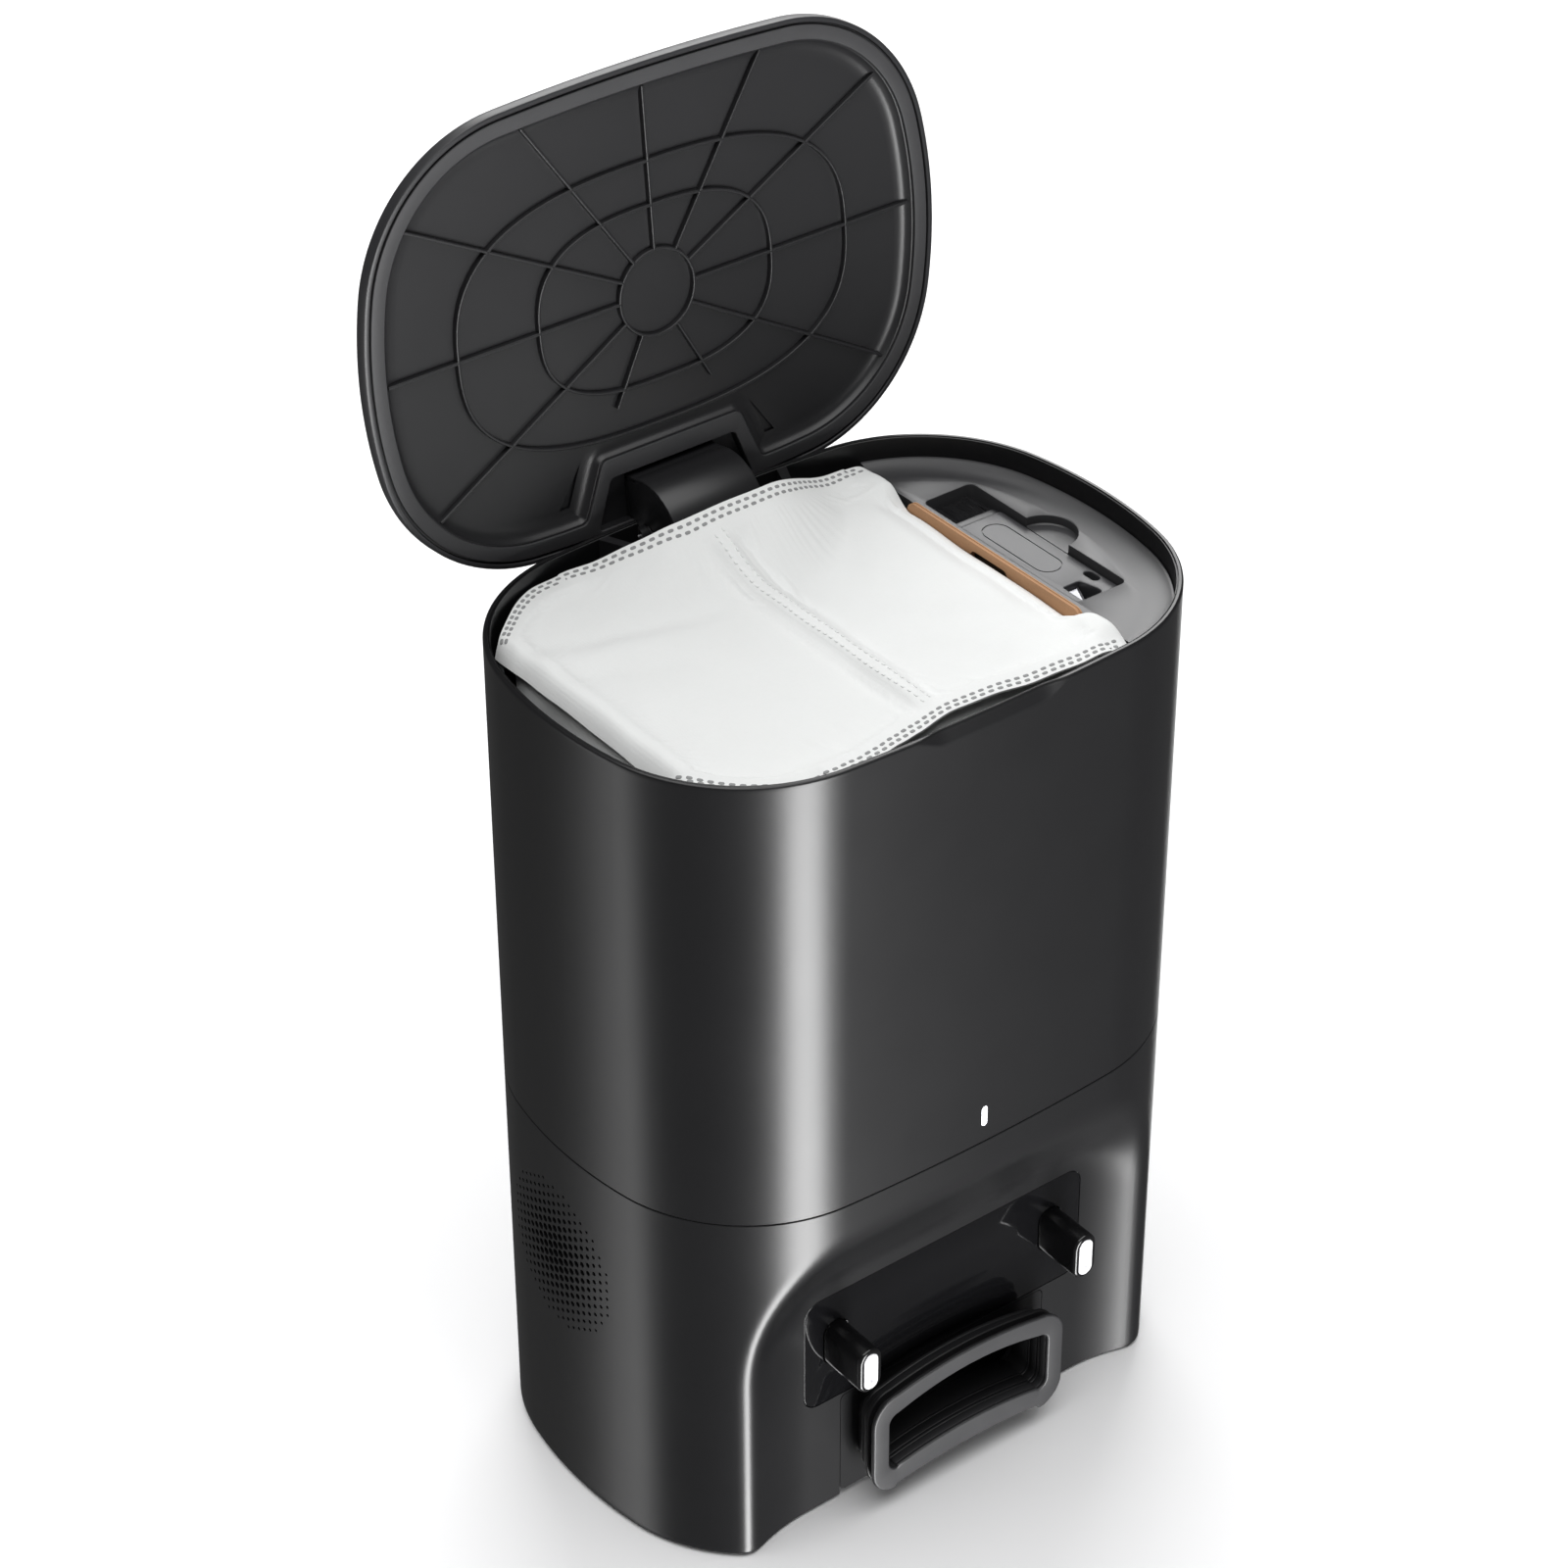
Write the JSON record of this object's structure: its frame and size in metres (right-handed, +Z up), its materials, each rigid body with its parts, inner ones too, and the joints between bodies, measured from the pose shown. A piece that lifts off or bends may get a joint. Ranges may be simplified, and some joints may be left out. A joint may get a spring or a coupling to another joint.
{
  "type": "robot vacuum self-emptying station",
  "caption": "Self-emptying docking station for a robot vacuum: tall oval body, hinged lid over a dust bag, and a docking recess with sprung charging contacts and a suction port.",
  "frame": {"origin": "middle of the body's footprint, on the floor", "axes": "+Z up; the docking recess and the suction port face -Y; +X is on the right of someone looking at the docking side; the lid hinges at +Y"},
  "size_m": [0.29, 0.2393, 0.603],
  "materials": {
    "casing_plastic": "satin, fine-textured dark grey",
    "underside_plastic": "matt black",
    "foot_rubber": "matt",
    "screw_steel": "zinc-plated",
    "gloss_black": "polished black",
    "arm_black": "polished black",
    "inner_plastic": "satin dark grey",
    "contact_chrome": "polished plating",
    "spring_steel": "drawn wire",
    "lip_rubber": "satin soft rubber",
    "seal_rubber": "matt soft rubber",
    "motor_metal": "cast",
    "shaft_steel": "ground",
    "impeller_plastic": "moulded off-white",
    "filter_paper": "charcoal-coloured pleated fleece",
    "filter_foam": "open foam",
    "board_green": "solder mask",
    "inlet_black": "moulded black",
    "lamp_white": "translucent white light guide",
    "chamber_plastic": "satin dark grey",
    "deck_plastic": "satin dark grey",
    "tool_plastic": "satin dark grey",
    "bristle_black": "nylon bristles",
    "blade_steel": "ground",
    "bag_fleece": "white non-woven fleece with welded seams",
    "collar_board": "brown kraft board",
    "gasket_rubber": "soft grey-blue",
    "lid_plastic": "satin dark grey",
    "lid_inner_plastic": "satin near-black",
    "lid_band": "satin grey seal",
    "hinge_plastic": "satin near-black"
  },
  "bodies": {
    "station": {"base_shell": "casing_plastic", "base_plate": "underside_plastic", "rubber_feet": "foot_rubber", "base_screws": "screw_steel", "gloss_panel": "gloss_black", "contact_guide": "inner_plastic", "contact_spring_left": "spring_steel", "contact_spring_right": "spring_steel", "port_cover": "casing_plastic", "port_horn": "inner_plastic", "port_lip": "lip_rubber", "suction_duct": "inner_plastic", "duct_seal": "seal_rubber", "riser_duct": "inner_plastic", "riser_elbow": "inner_plastic", "inlet_seal": "seal_rubber", "motor_housing": "inner_plastic", "motor_can": "motor_metal", "upper_bearing": "shaft_steel", "lower_bearing": "shaft_steel", "motor_mounts": "seal_rubber", "fan_diffuser": "inner_plastic", "fan_cover": "inner_plastic", "fan_seal": "seal_rubber", "exhaust_filter": "filter_paper", "filter_frame": "inner_plastic", "control_board": "board_green", "power_inlet": "inlet_black", "upper_casing": "casing_plastic", "bag_chamber": "chamber_plastic", "chamber_filter": "filter_foam", "collar_guides": "chamber_plastic", "status_light": "lamp_white", "light_board": "board_green", "tool_deck": "deck_plastic", "hinge_housing": "hinge_plastic", "hinge_pin": "shaft_steel", "hinge_spring": "spring_steel", "hinge_screws": "screw_steel"},
    "lid": {"lid_shell": "lid_plastic", "lid_panel": "lid_inner_plastic", "lid_seal": "lid_band", "lid_arm": "hinge_plastic"},
    "bag": {"dust_bag": "bag_fleece", "bag_collar": "collar_board", "collar_gasket": "gasket_rubber"},
    "tool": {"tool_handle": "tool_plastic", "tool_bristles": "bristle_black", "tool_blade": "blade_steel"},
    "arm_left": {"contact_arm_left": "arm_black", "contact_plate_left": "contact_chrome"},
    "arm_right": {"contact_arm_right": "arm_black", "contact_plate_right": "contact_chrome"},
    "fan": {"motor_shaft": "shaft_steel", "impeller": "impeller_plastic"}
  },
  "joints": [
    {"name": "lid_hinge", "type": "hinge", "parent": "station", "child": "lid", "pos_m": [0, 0.1006, 0.4015], "axis": [-1, 0, 0], "range_deg": [-95, 0], "deforming": ["hinge_spring"]},
    {"name": "contact_left_press", "type": "slide", "parent": "station", "child": "arm_left", "axis": [0, 1, 0], "range_m": [0, 0.004], "stiffness_N_per_m": 250, "springref_m": -0.004, "deforming": ["contact_spring_left"]},
    {"name": "contact_right_press", "type": "slide", "parent": "station", "child": "arm_right", "axis": [0, 1, 0], "range_m": [0, 0.004], "stiffness_N_per_m": 250, "springref_m": -0.004, "deforming": ["contact_spring_right"]},
    {"name": "fan_spin", "type": "hinge", "parent": "station", "child": "fan", "pos_m": [-0.03, 0.03, 0.148], "axis": [0, 0, 1], "continuous": true},
    {"name": "bag_lift_out", "type": "slide", "parent": "station", "child": "bag", "axis": [0, 0, 1], "range_m": [0, 0.25]},
    {"name": "tool_lift_out", "type": "slide", "parent": "station", "child": "tool", "axis": [0, 0, 1], "range_m": [0, 0.06]}
  ]
}
